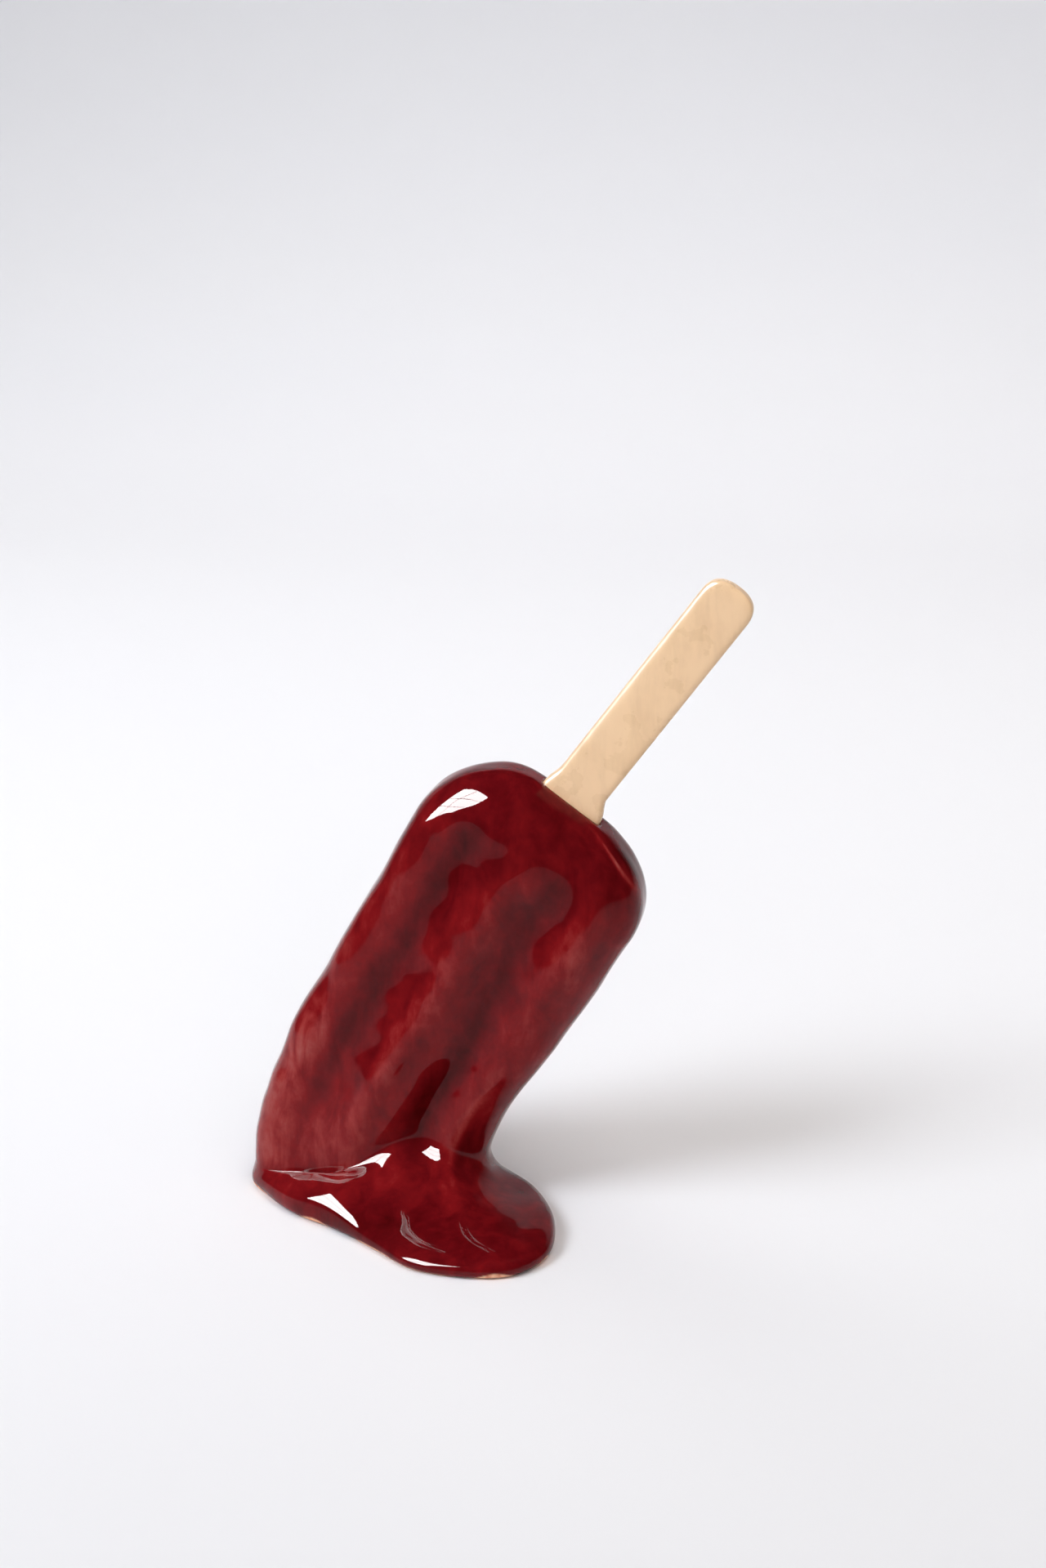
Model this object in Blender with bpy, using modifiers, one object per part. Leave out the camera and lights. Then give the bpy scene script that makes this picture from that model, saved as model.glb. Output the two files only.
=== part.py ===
"""A glazed ceramic copy of an ice pop on a stick that is melting where it stands.

The ice is a thick slab with rounded edges and two grooves down each broad face.
It leans to the right on its own melted foot: the slab's lower end is upright,
and its skin flares out into a puddle with a rounded rim and a flat underside.
The stick is a separate flat bar, whose flared root sits in a slot in the
slab's domed upper end.

Frame: metres, +Z up, +X the way the slab leans, broad faces towards -Y and +Y.
The origin lies on the floor under the middle of the object's bounding box.
"""

import math

import bmesh
import bpy
import numpy as np

MM = 0.001
COLLECTION = "ice_pop"

# Where the middle of the slab's foot stands on the floor.
FOOT_X = -23.5 * MM
FOOT_Y = 10.3 * MM

# The slab's sections from the floor to the start of the dome:
# share of the way up, middle's X from the foot, height, tilt in degrees, half width.
SECTIONS = (
    (0.00, 0.0 * MM, 0.0 * MM, 3.0, 21.9 * MM),
    (0.15, 0.4 * MM, 8.6 * MM, 9.0, 21.9 * MM),
    (0.35, 5.0 * MM, 22.4 * MM, 18.0, 21.6 * MM),
    (0.60, 14.2 * MM, 38.0 * MM, 25.0, 21.9 * MM),
    (0.80, 21.9 * MM, 50.8 * MM, 29.0, 22.3 * MM),
    (1.00, 29.8 * MM, 64.3 * MM, 31.0, 22.6 * MM),
)
HALF_DEPTH = 12.2 * MM
DOME_HEIGHT = 15.6 * MM

# The sections are superellipses: how square they are, and how far up the foot's ends.
FOOT_SQUARENESS = 2.7
BODY_SQUARENESS = 3.3
DOME_SOFTENING = 0.7
FOOT_TOP = 0.3
# Above 1, the dome narrows sooner in depth than in width.
DOME_SLIMNESS = 1.15

# The grooves: place and width as shares of the half width, and where they run,
# as shares of the way up. The dome counts as a further DOME_SHARE of the way.
GROOVE_DEPTH = 2.2 * MM
GROOVE_PLACE = 0.39
GROOVE_WIDTH = 0.17
GROOVE_START = 0.02
GROOVE_GROWTH = 0.20
GROOVE_END = 1.06
GROOVE_FADE = 0.25
DOME_SHARE = 0.3
# The grooves stay on the broad faces, which begin at this share of the depth.
FACE_START = 0.33

# The puddle's outline on the floor: direction in degrees, X and Y from the foot.
# Directions run from +X towards the front, which is -Y.
PUDDLE = (
    (0, 33.4 * MM, -6.0 * MM),
    (22, 37.7 * MM, -16.0 * MM),
    (45, 37.7 * MM, -28.0 * MM),
    (62, 32.9 * MM, -34.0 * MM),
    (80, 22.4 * MM, -35.8 * MM),
    (98, 13.9 * MM, -34.0 * MM),
    (112, 6.9 * MM, -28.8 * MM),
    (128, -1.6 * MM, -22.8 * MM),
    (145, -11.1 * MM, -17.8 * MM),
    (162, -18.6 * MM, -9.5 * MM),
    (180, -22.3 * MM, -0.5 * MM),
    (210, -19.6 * MM, 10.0 * MM),
    (250, -4.1 * MM, 14.5 * MM),
    (290, 10.9 * MM, 14.0 * MM),
    (335, 23.4 * MM, 3.5 * MM),
)
# How far up the slab the melt begins, and how thick the puddle's rim is, by direction.
MELT_START = ((0, 0.15), (40, 0.24), (75, 0.26), (100, 0.22), (125, 0.15), (150, 0.12),
              (180, 0.12), (230, 0.10), (310, 0.11))
RIM_HEIGHT = ((0, 3.2 * MM), (60, 3.4 * MM), (100, 3.0 * MM), (140, 2.8 * MM),
              (180, 3.6 * MM), (270, 3.0 * MM))
RIM_TOP_ANGLE = math.radians(62)
FULL_SPREAD = 9.0 * MM
UNDERCUT = 0.4
# How strongly the melt's curve keeps to the rim's direction and to the slab's.
MELT_PULL_OUT = 0.42
MELT_PULL_DOWN = 0.36
MELT_SLOPE_STEP = 0.02

STICK_TILT = math.radians(36.1)
STICK_SHIFT = -1.1 * MM
STICK_LENGTH = 49.6 * MM
STICK_HALF_WIDTH = 5.0 * MM
STICK_THICKNESS = 3.5 * MM
STICK_EDGE = 1.2 * MM
STICK_TIP = 4.6 * MM
STICK_TIP_SQUARENESS = 2.6
ROOT_DEPTH = 9.0 * MM
ROOT_GROWTH_LEFT = 0.8 * MM
ROOT_GROWTH_RIGHT = 1.7 * MM
FLARE_HEIGHT = 4.5 * MM

# The stick's root keeps this gap to the slot's sides, and stops short of its floor.
SLOT_GAP = 0.6 * MM
SLOT_DEPTH = 10.5 * MM
SLOT_SQUARENESS = 6.0

AROUND = 32
RIM_ROWS = 5
MELT_ROWS = 5
BODY_ROWS = 9
DOME_ROWS = 7
SLOT_ROWS = 2


def smooth_curve(knots, values, places):
    """Values of a smooth curve through the knots, one row for each place."""
    knots = np.asarray(knots, float)
    values = np.asarray(values, float)
    places = np.asarray(places, float)
    steps = np.diff(knots)[:, None]
    rises = np.diff(values, axis=0) / steps
    slopes = np.empty_like(values)
    slopes[1:-1] = (rises[:-1] * steps[1:] + rises[1:] * steps[:-1]) / (steps[1:] + steps[:-1])
    slopes[0] = rises[0]
    slopes[-1] = rises[-1]
    span = np.clip(np.searchsorted(knots, places, side="right") - 1, 0, len(knots) - 2)
    width = steps[span]
    share = (places - knots[span])[:, None] / width
    rest = 1 - share
    return (rest**2 * (1 + 2 * share) * values[span] + rest**2 * share * width * slopes[span]
            + share**2 * (3 - 2 * share) * values[span + 1] - share**2 * rest * width * slopes[span + 1])


def around_curve(table, angles):
    """The same for a table that runs round the foot, by direction in degrees."""
    rows = np.asarray(table, float)
    ends = 3
    before = rows[-ends:] - np.eye(rows.shape[1])[0] * 360
    after = rows[:ends] + np.eye(rows.shape[1])[0] * 360
    rows = np.vstack([before, rows, after])
    return smooth_curve(rows[:, 0], rows[:, 1:], np.degrees(angles) % 360)


def superellipse(angles, squareness):
    """Points round a unit superellipse: 2 is a circle, and more is squarer."""
    across = np.cos(angles)
    deep = np.sin(angles)
    scale = (np.abs(across)**squareness + np.abs(deep)**squareness) ** (-1 / squareness)
    return across * scale, deep * scale


def ease(share):
    """A smooth step from 0 to 1."""
    share = np.clip(share, 0, 1)
    return share * share * (3 - 2 * share)


def grooved(across, deep, up):
    """The depth coordinate after the two grooves are pressed into both broad faces."""
    depth = GROOVE_DEPTH * ease((up - GROOVE_START) / GROOVE_GROWTH) * ease((GROOVE_END - up) / GROOVE_FADE)
    dents = sum(np.exp(-((across - side * GROOVE_PLACE) / GROOVE_WIDTH) ** 2) for side in (-1, 1))
    on_face = np.clip(np.abs(deep) / (FACE_START * HALF_DEPTH) - 1, 0, 1)
    return deep - np.sign(deep) * depth * dents * on_face


def slab_ring(angles, up):
    """Points of the slab's side, for each direction at its own share of the way up."""
    table = np.asarray(SECTIONS)
    middle_x, height, tilt, half_width = smooth_curve(table[:, 0], table[:, 1:], up).T
    tilt = np.radians(tilt)
    square = FOOT_SQUARENESS + (BODY_SQUARENESS - FOOT_SQUARENESS) * np.clip(up / FOOT_TOP, 0, 1)
    across, deep = superellipse(angles, square)
    deep = grooved(across, HALF_DEPTH * deep, up)
    reach = half_width * across
    return np.stack([FOOT_X + middle_x + reach * np.cos(tilt),
                     FOOT_Y - deep,
                     height - reach * np.sin(tilt)], axis=1)


def dome_middle(share):
    """The middle of the domed end's sections, from its start at 0 to the slot's lip at 1."""
    _, middle_x, height, tilt, _ = SECTIONS[-1]
    lean = (math.radians(tilt) + STICK_TILT) / 2
    rise = DOME_HEIGHT * math.sin(share * math.pi / 2)
    return np.array([FOOT_X + middle_x + rise * math.sin(lean), FOOT_Y, height + rise * math.cos(lean)])


def across_stick(distance):
    """A step across the stick, to its right."""
    return np.array([distance * math.cos(STICK_TILT), 0, -distance * math.sin(STICK_TILT)])


def dome_ring(angles, share):
    """Points of the domed end, which turns from the slab's tilt to the stick's."""
    _, _, _, tilt, half_width = SECTIONS[-1]
    tilt = math.radians(tilt) * (1 - share) + STICK_TILT * share
    lip_width = STICK_HALF_WIDTH + (ROOT_GROWTH_LEFT + ROOT_GROWTH_RIGHT) / 2 + SLOT_GAP
    lip_depth = STICK_THICKNESS / 2 + SLOT_GAP
    lip_middle = STICK_SHIFT + (ROOT_GROWTH_RIGHT - ROOT_GROWTH_LEFT) / 2
    turn = share * math.pi / 2
    square = BODY_SQUARENESS - DOME_SOFTENING * math.sin(math.pi * share)
    square += (SLOT_SQUARENESS - BODY_SQUARENESS) * share**4
    across, deep = superellipse(angles, square)
    reach = lip_middle * share**2 + across * (lip_width + (half_width - lip_width) * math.cos(turn))
    deep = deep * (lip_depth + (HALF_DEPTH - lip_depth) * math.cos(turn) ** DOME_SLIMNESS)
    deep = grooved(across, deep, 1 + DOME_SHARE * share)
    middle = dome_middle(share)
    return np.stack([middle[0] + reach * math.cos(tilt),
                     middle[1] - deep,
                     middle[2] - reach * math.sin(tilt)], axis=1)


def rim_rings(angles):
    """The puddle's rounded rim, from its edge on the floor to its top.

    The rim turns over fully where the puddle spreads well clear of the slab,
    and stays upright where the puddle hugs it. Also returned are the rim's
    directions at its top, pointing on up the surface.
    """
    outline = around_curve(PUDDLE, angles) + (FOOT_X, FOOT_Y)
    spread = np.linalg.norm(outline - slab_ring(angles, np.zeros(len(angles)))[:, :2], axis=1)
    top_angle = RIM_TOP_ANGLE * ease(spread / FULL_SPREAD)
    radius = around_curve(RIM_HEIGHT, angles)[:, 0] / 2
    along = np.roll(outline, -1, axis=0) - np.roll(outline, 1, axis=0)
    outward = np.stack([-along[:, 1], along[:, 0]], axis=1)
    outward /= np.linalg.norm(outward, axis=1)[:, None]
    rings = []
    for share in np.linspace(0, 1, RIM_ROWS):
        turn = -math.pi / 2 + (top_angle + math.pi / 2) * share
        inset = radius * (np.cos(turn) - 1) * np.where(turn > 0, 1, UNDERCUT)
        spot = outline + outward * inset[:, None]
        rings.append(np.column_stack([spot, radius * (1 + np.sin(turn))]))
    upward = np.column_stack([-outward * np.sin(top_angle)[:, None], np.cos(top_angle)])
    return rings, upward


def melt_rings(angles, rim_top, upward, neck):
    """Curves from the rim's top up to the slab, leaving the rim flat and the slab steep."""
    below = slab_ring(angles, around_curve(MELT_START, angles)[:, 0] - MELT_SLOPE_STEP)
    down = (below - neck) / np.linalg.norm(below - neck, axis=1)[:, None]
    reach = np.linalg.norm(neck - rim_top, axis=1)[:, None]
    near_rim = rim_top + upward * reach * MELT_PULL_OUT
    near_neck = neck + down * reach * MELT_PULL_DOWN
    rings = []
    for share in np.linspace(0, 1, MELT_ROWS + 1)[1:]:
        rest = 1 - share
        rings.append(rest**3 * rim_top + 3 * rest**2 * share * near_rim
                     + 3 * rest * share**2 * near_neck + share**3 * neck)
    return rings


def ice_rings():
    """Every ring of the ice, from its edge on the floor to the bottom of its slot."""
    angles = np.linspace(0, 2 * math.pi, AROUND, endpoint=False)
    melt_start = around_curve(MELT_START, angles)[:, 0]
    rings, upward = rim_rings(angles)
    neck = slab_ring(angles, melt_start)
    rings += melt_rings(angles, rings[-1], upward, neck)
    for share in np.linspace(0, 1, BODY_ROWS + 1)[1:]:
        rings.append(slab_ring(angles, melt_start + (1 - melt_start) * share))
    for share in np.linspace(0, 1, DOME_ROWS + 1)[1:]:
        rings.append(dome_ring(angles, share))
    inward = np.array([-math.sin(STICK_TILT), 0, -math.cos(STICK_TILT)])
    lip = rings[-1]
    for share in np.linspace(0, 1, SLOT_ROWS + 1)[1:]:
        rings.append(lip + inward * SLOT_DEPTH * share)
    return rings


def loft(name, rings, sharp_rings):
    """A closed mesh through the rings, flat at both ends, creased along some rings."""
    shape = bmesh.new()
    crease = shape.edges.layers.float.new("crease_edge")
    loops = [[shape.verts.new(spot) for spot in ring] for ring in rings]
    for low, high in zip(loops, loops[1:]):
        for one, two in zip(range(AROUND), list(range(1, AROUND)) + [0]):
            shape.faces.new((low[one], low[two], high[two], high[one]))
    shape.faces.new(loops[0])
    shape.faces.new(loops[-1])
    for number, strength in sharp_rings:
        for one, two in zip(loops[number], loops[number][1:] + loops[number][:1]):
            shape.edges.get((one, two))[crease] = strength
    bmesh.ops.recalc_face_normals(shape, faces=shape.faces)
    mesh = bpy.data.meshes.new(name)
    shape.to_mesh(mesh)
    shape.free()
    return mesh


def material(name, colour, roughness):
    """A glaze: a glossy dielectric in one colour."""
    glaze = bpy.data.materials.new(name)
    glaze.use_nodes = True
    shader = glaze.node_tree.nodes["Principled BSDF"]
    shader.inputs["Base Color"].default_value = (*colour, 1)
    shader.inputs["Roughness"].default_value = roughness
    shader.inputs["Metallic"].default_value = 0
    return glaze


def add_object(name, mesh, collection, glaze):
    """An object with the mesh and the material, in the collection."""
    piece = bpy.data.objects.new(name, mesh)
    mesh.materials.append(glaze)
    mesh.shade_smooth()
    mesh.set_sharp_from_angle(angle=math.radians(50))
    collection.objects.link(piece)
    return piece


def add_ice(collection):
    """The leaning slab, its puddle and its slot, as one closed body."""
    rings = ice_rings()
    slot_lip = len(rings) - 1 - SLOT_ROWS
    creases = ((0, 1.0), (slot_lip, 0.8), (len(rings) - 1, 1.0))
    mesh = loft("ice_body", rings, creases)
    ice = add_object("ice_body", mesh, collection, material("red_glaze", (0.21, 0.006, 0.008), 0.08))
    smooth = ice.modifiers.new("Smooth", "SUBSURF")
    smooth.levels = 1
    smooth.render_levels = 1
    return ice


def stick_outline():
    """The stick's outline, across and along it, from the root's left corner round."""
    flare = np.linspace(0, 1, 5)
    heights = flare * FLARE_HEIGHT
    growth = 1 - ease(flare)
    left = [(-STICK_HALF_WIDTH - ROOT_GROWTH_LEFT, -ROOT_DEPTH)]
    left += [(-STICK_HALF_WIDTH - ROOT_GROWTH_LEFT * grow, z) for grow, z in zip(growth, heights)]
    right = [(STICK_HALF_WIDTH + ROOT_GROWTH_RIGHT, -ROOT_DEPTH)]
    right += [(STICK_HALF_WIDTH + ROOT_GROWTH_RIGHT * grow, z) for grow, z in zip(growth, heights)]
    across, up = superellipse(np.linspace(math.pi, 0, 15), STICK_TIP_SQUARENESS)
    tip = [(STICK_HALF_WIDTH * x, STICK_LENGTH - STICK_TIP + STICK_TIP * z) for x, z in zip(across, up)]
    return left + tip + right[::-1]


def add_stick(collection):
    """The flat stick, with rounded edges, a rounded tip and a flared root."""
    shape = bmesh.new()
    shape.faces.new([shape.verts.new((x, 0, z)) for x, z in stick_outline()])
    mesh = bpy.data.meshes.new("stick")
    shape.to_mesh(mesh)
    shape.free()
    stick = add_object("stick", mesh, collection, material("cream_glaze", (0.78, 0.56, 0.36), 0.25))
    stick.location = dome_middle(1) + across_stick(STICK_SHIFT)
    stick.rotation_euler = (0, STICK_TILT, 0)
    thick = stick.modifiers.new("Thickness", "SOLIDIFY")
    thick.thickness = STICK_THICKNESS
    thick.offset = 0
    edge = stick.modifiers.new("Rounded edges", "BEVEL")
    edge.width = STICK_EDGE
    edge.segments = 3
    edge.limit_method = "ANGLE"
    edge.angle_limit = math.radians(40)
    return stick


def clear_scene():
    """Remove whatever the scene holds."""
    for thing in list(bpy.data.objects):
        bpy.data.objects.remove(thing, do_unlink=True)


def main():
    clear_scene()
    collection = bpy.data.collections.new(COLLECTION)
    bpy.context.scene.collection.children.link(collection)
    add_ice(collection)
    add_stick(collection)


main()
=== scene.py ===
"""The finish of a glazed ceramic ice pop that melts into its own puddle.

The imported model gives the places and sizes. This script lays a fine glazed
surface over its slab and puddle, and another over its stick, and sets them on
a pale studio sweep under a soft window light.
"""
import math

import bpy
import numpy as np
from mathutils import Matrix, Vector
from bpy.props import FloatProperty, FloatVectorProperty, IntProperty, PointerProperty


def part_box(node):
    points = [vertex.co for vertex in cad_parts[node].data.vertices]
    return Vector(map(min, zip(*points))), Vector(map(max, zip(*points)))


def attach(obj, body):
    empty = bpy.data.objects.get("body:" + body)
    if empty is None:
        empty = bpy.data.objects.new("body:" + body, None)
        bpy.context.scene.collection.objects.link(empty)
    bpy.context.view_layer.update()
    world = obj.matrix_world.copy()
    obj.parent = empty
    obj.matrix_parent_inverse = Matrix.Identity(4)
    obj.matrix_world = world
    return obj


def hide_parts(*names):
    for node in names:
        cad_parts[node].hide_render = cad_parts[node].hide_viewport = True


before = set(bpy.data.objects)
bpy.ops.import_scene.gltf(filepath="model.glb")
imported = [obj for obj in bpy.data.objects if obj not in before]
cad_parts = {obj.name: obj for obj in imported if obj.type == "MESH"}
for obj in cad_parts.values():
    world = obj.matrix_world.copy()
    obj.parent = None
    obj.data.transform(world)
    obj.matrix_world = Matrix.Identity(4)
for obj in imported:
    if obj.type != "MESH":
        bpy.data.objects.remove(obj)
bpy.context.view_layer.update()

bl_info = {
    "name": "Ceramic ice pop",
    "version": (1, 0, 0),
    "blender": (4, 5, 0),
    "location": "3D View > Sidebar > Ice pop",
    "description": "Glazed slab and puddle, glazed stick, and a studio sweep",
    "category": "Add Mesh",
}

MM = 0.001
ICE_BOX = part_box("ice_body")
STICK_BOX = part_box("stick")

RIM_ROWS, MELT_ROWS, SLAB_ROWS, DOME_ROWS, MOUTH_ROWS = 40, 56, 106, 50, 6

# The slab's sections from the floor to the start of the dome:
# share of the way up, middle's X from the foot, height, tilt in degrees, half width.
SECTIONS = (
    (0.00, 0.0 * MM, 0.0 * MM, 3.0, 21.9 * MM),
    (0.15, 0.4 * MM, 8.6 * MM, 9.0, 21.9 * MM),
    (0.35, 5.0 * MM, 22.4 * MM, 18.0, 21.6 * MM),
    (0.60, 14.2 * MM, 38.0 * MM, 25.0, 21.9 * MM),
    (0.80, 21.9 * MM, 50.8 * MM, 29.0, 22.3 * MM),
    (1.00, 29.8 * MM, 64.3 * MM, 31.0, 22.6 * MM),
)
# The puddle's outline on the floor: direction in degrees from +X towards the front,
# then X and Y from the foot.
PUDDLE = (
    (2, 33.4 * MM, -6.0 * MM),
    (18, 37.7 * MM, -16.0 * MM),
    (36, 37.7 * MM, -28.0 * MM),
    (48, 32.9 * MM, -34.0 * MM),
    (64, 22.4 * MM, -35.8 * MM),
    (77, 13.9 * MM, -34.0 * MM),
    (88, 6.9 * MM, -28.8 * MM),
    (101, -1.6 * MM, -22.8 * MM),
    (118, -11.1 * MM, -17.8 * MM),
    (138, -19.6 * MM, -10.0 * MM),
    (172, -22.3 * MM, -1.5 * MM),
    (210, -19.6 * MM, 10.0 * MM),
    (250, -4.1 * MM, 14.5 * MM),
    (290, 10.9 * MM, 14.0 * MM),
    (335, 23.4 * MM, 3.5 * MM),
)
# Where the grooves start up the slab, and how soon they are at full depth.
GROOVE_START, GROOVE_GROWTH = -0.05, 0.20
# How far the left of the front face spreads forwards at its foot, and how far up this reaches.
FOOT_FLARE, FLARE_TOP = 1.5 * MM, 0.50
# How far up the slab the melt begins, and how thick the puddle's rim is, by direction.
MELT_START = ((0, 0.22), (40, 0.27), (60, 0.28), (75, 0.26), (90, 0.17), (105, 0.10), (120, 0.08), (135, 0.065),
              (150, 0.06), (180, 0.06), (230, 0.10), (310, 0.12))
RIM_HEIGHT = ((0, 4.0 * MM), (20, 3.6 * MM), (47, 3.0 * MM), (66, 2.6 * MM), (84, 2.6 * MM), (100, 3.0 * MM),
              (118, 3.2 * MM), (140, 2.4 * MM), (165, 2.4 * MM), (190, 3.0 * MM), (270, 2.8 * MM), (330, 4.2 * MM))
# The rim's round top ends where the melt's hollow, of this radius, meets it.
HOLLOW = 9.0 * MM
RIM_TOP_STEEPEST = math.radians(62)
# The melt's curve, as shares of the gap between the slab and the rim: how far it keeps the slab's
# lie, how far down and out its middle point lies, and how far it keeps the rim's lie.
NECK_PULL, SKIRT_DOWN, SKIRT_OUT, MELT_PULL = 0.10, 0.45, 0.20, 0.30
# How many times the melt is smoothed.
SOFTENED = 18


class ICEPOP_PG_ice(bpy.types.PropertyGroup):
    """Sizes and colours of the glazed slab and its puddle."""
    half_depth: FloatProperty(name="Half depth", description="Half of the slab's depth",
                              default=12.2 * MM, unit="LENGTH")
    dome_height: FloatProperty(name="Dome height", description="How far the end rises above the sides",
                               default=15.6 * MM, unit="LENGTH")
    groove_depth: FloatProperty(name="Groove depth", description="Depth of the two grooves in each face",
                                default=2.6 * MM, unit="LENGTH")
    groove_width: FloatProperty(name="Groove width", description="Groove's width, as a share of the half width",
                                default=0.27, subtype="FACTOR")
    wobble: FloatProperty(name="Wobble", description="Height of the hand-made unevenness",
                          default=0.10 * MM, unit="LENGTH")
    glaze_red: FloatVectorProperty(name="Glaze", description="The glaze where it is of even thickness",
                                   default=(0.110, 0.0028, 0.0048), subtype="COLOR")
    glaze_deep: FloatVectorProperty(name="Pooled glaze", description="The glaze where it has run together",
                                    default=(0.050, 0.0008, 0.0014), subtype="COLOR")
    glaze_thin: FloatVectorProperty(name="Thin glaze", description="The glaze where it breaks over an edge",
                                    default=(0.36, 0.075, 0.065), subtype="COLOR")
    around: IntProperty(name="Steps around", description="Steps of the surface around the slab", default=320)


class ICEPOP_PG_stick(bpy.types.PropertyGroup):
    """Sizes and colour of the stick."""
    tilt: FloatProperty(name="Tilt", description="The stick's lean from upright",
                        default=math.radians(36.1), subtype="ANGLE")
    shift: FloatProperty(name="Shift", description="Step of the stick to the left across the dome",
                         default=-1.1 * MM, unit="LENGTH")
    length: FloatProperty(name="Length", description="Length outside the slab", default=49.6 * MM, unit="LENGTH")
    half_width: FloatProperty(name="Half width", description="Half of the stick's width",
                              default=5.0 * MM, unit="LENGTH")
    thickness: FloatProperty(name="Thickness", description="The stick's thickness",
                             default=3.5 * MM, unit="LENGTH")
    glaze: FloatVectorProperty(name="Glaze", description="The stick's cream glaze",
                               default=(0.91, 0.625, 0.375), subtype="COLOR")


class ICEPOP_PG_stage(bpy.types.PropertyGroup):
    """The sweep, the lights and the camera."""
    paper: FloatVectorProperty(name="Paper", description="Colour of the sweep", default=(0.853, 0.85, 0.878),
                               subtype="COLOR")
    window_power: FloatProperty(name="Window power", description="Power of the window light", default=30.0,
                                unit="POWER")
    lens: FloatProperty(name="Lens", description="Focal length of the camera, in millimetres", default=60.0)


def ease(share):
    """A smooth step: 3 share squared less 2 share cubed, held between 0 and 1."""
    share = np.clip(share, 0, 1)
    return share * share * (3 - 2 * share)


def smooth_curve(knots, values, places):
    """A cubic through each pair of knots, whose slope at a knot is the mean of its neighbours'."""
    knots = np.asarray(knots, float)
    values = np.asarray(values, float)
    places = np.asarray(places, float)
    steps = np.diff(knots)[:, None]
    rises = np.diff(values, axis=0) / steps
    slopes = np.empty_like(values)
    slopes[1:-1] = (rises[:-1] * steps[1:] + rises[1:] * steps[:-1]) / (steps[1:] + steps[:-1])
    slopes[0] = rises[0]
    slopes[-1] = rises[-1]
    span = np.clip(np.searchsorted(knots, places, side="right") - 1, 0, len(knots) - 2)
    width = steps[span]
    share = (places - knots[span])[..., None] / width
    rest = 1 - share
    return (rest**2 * (1 + 2 * share) * values[span] + rest**2 * share * width * slopes[span]
            + share**2 * (3 - 2 * share) * values[span + 1] - share**2 * rest * width * slopes[span + 1])


def around_curve(table, angles):
    """The same for a table that runs round the foot, by direction in degrees."""
    rows = np.asarray(table, float)
    turn = np.zeros(rows.shape[1])
    turn[0] = 360
    rows = np.vstack([rows[-3:] - turn, rows, rows[:3] + turn])
    return smooth_curve(rows[:, 0], rows[:, 1:], np.degrees(angles) % 360)


def superellipse(angles, squareness):
    """Points where |x|^n + |y|^n = 1: n of 2 is a circle, and more is squarer."""
    across = np.cos(angles)
    deep = np.sin(angles)
    scale = (np.abs(across)**squareness + np.abs(deep)**squareness) ** (-1 / squareness)
    return across * scale, deep * scale


def ripple(spots, size, seed, count=24):
    """A sum of plane waves of random direction, each about `size` long, scaled to about 1."""
    chance = np.random.default_rng(seed)
    aims = chance.normal(size=(count, 3))
    aims /= np.linalg.norm(aims, axis=1)[:, None]
    lengths = size * chance.uniform(0.7, 1.4, count)
    starts = chance.uniform(0, 2 * math.pi, count)
    waves = np.sin(2 * math.pi * (spots @ (aims / lengths[:, None]).T) + starts)
    return waves.sum(axis=-1) / math.sqrt(count / 2)


def groove_places(deep, up, ice):
    """Where the two grooves run and how wide they are: the front's right one wanders and widens upwards."""
    front = ease(deep / ice.half_depth + 0.5)
    high = ease((up - 0.45) / 0.45)
    left_place = -0.53 * front - 0.39 * (1 - front)
    right_place = (0.40 - 0.16 * high) * front + 0.39 * (1 - front)
    right_width = ice.groove_width * (1 - 0.33 * (1 - high) * front)
    return (left_place, ice.groove_width), (right_place, right_width)


def grooved(across, deep, up, ice):
    """Depth less the grooves: a bell curve round each groove's place, fading at both ends."""
    depth = ice.groove_depth * ease((up - GROOVE_START) / GROOVE_GROWTH) * ease((1.13 - up) / 0.15)
    dents = sum(np.exp(-((across - place) / width) ** 2) for place, width in groove_places(deep, up, ice))
    on_face = np.clip(np.abs(deep) / (0.33 * ice.half_depth) - 1, 0, 1)
    return deep - np.sign(deep) * depth * dents * on_face


def slab_surface(angles, up, ice):
    """The slab's side: a superellipse at each share of the way up, tilted and slid along the lean."""
    table = np.asarray(SECTIONS)
    middle_x, height, tilt, half_width = np.moveaxis(smooth_curve(table[:, 0], table[:, 1:], up), -1, 0)
    tilt = np.radians(tilt)
    square = 2.7 + 0.6 * np.clip(up / 0.3, 0, 1)
    across, deep = superellipse(angles, square)
    deep = grooved(across, ice.half_depth * deep, up, ice)
    flare = FOOT_FLARE * (1 - ease(up / FLARE_TOP)) * ease(deep / ice.half_depth + 0.5) * ease(0.5 - across)
    deep = deep + flare
    reach = half_width * across
    return np.stack([middle_x + reach * np.cos(tilt), -deep, height - reach * np.sin(tilt)], axis=-1)


def dome_middle(share, ice, stick):
    """The middle of the dome's sections: a quarter turn's sine along the mean lean."""
    _, middle_x, height, tilt, _ = SECTIONS[-1]
    lean = (math.radians(tilt) + stick.tilt) / 2
    rise = ice.dome_height * np.sin(share * math.pi / 2)
    return np.stack([middle_x + rise * math.sin(lean), 0 * rise, height + rise * math.cos(lean)], axis=-1)


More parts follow.
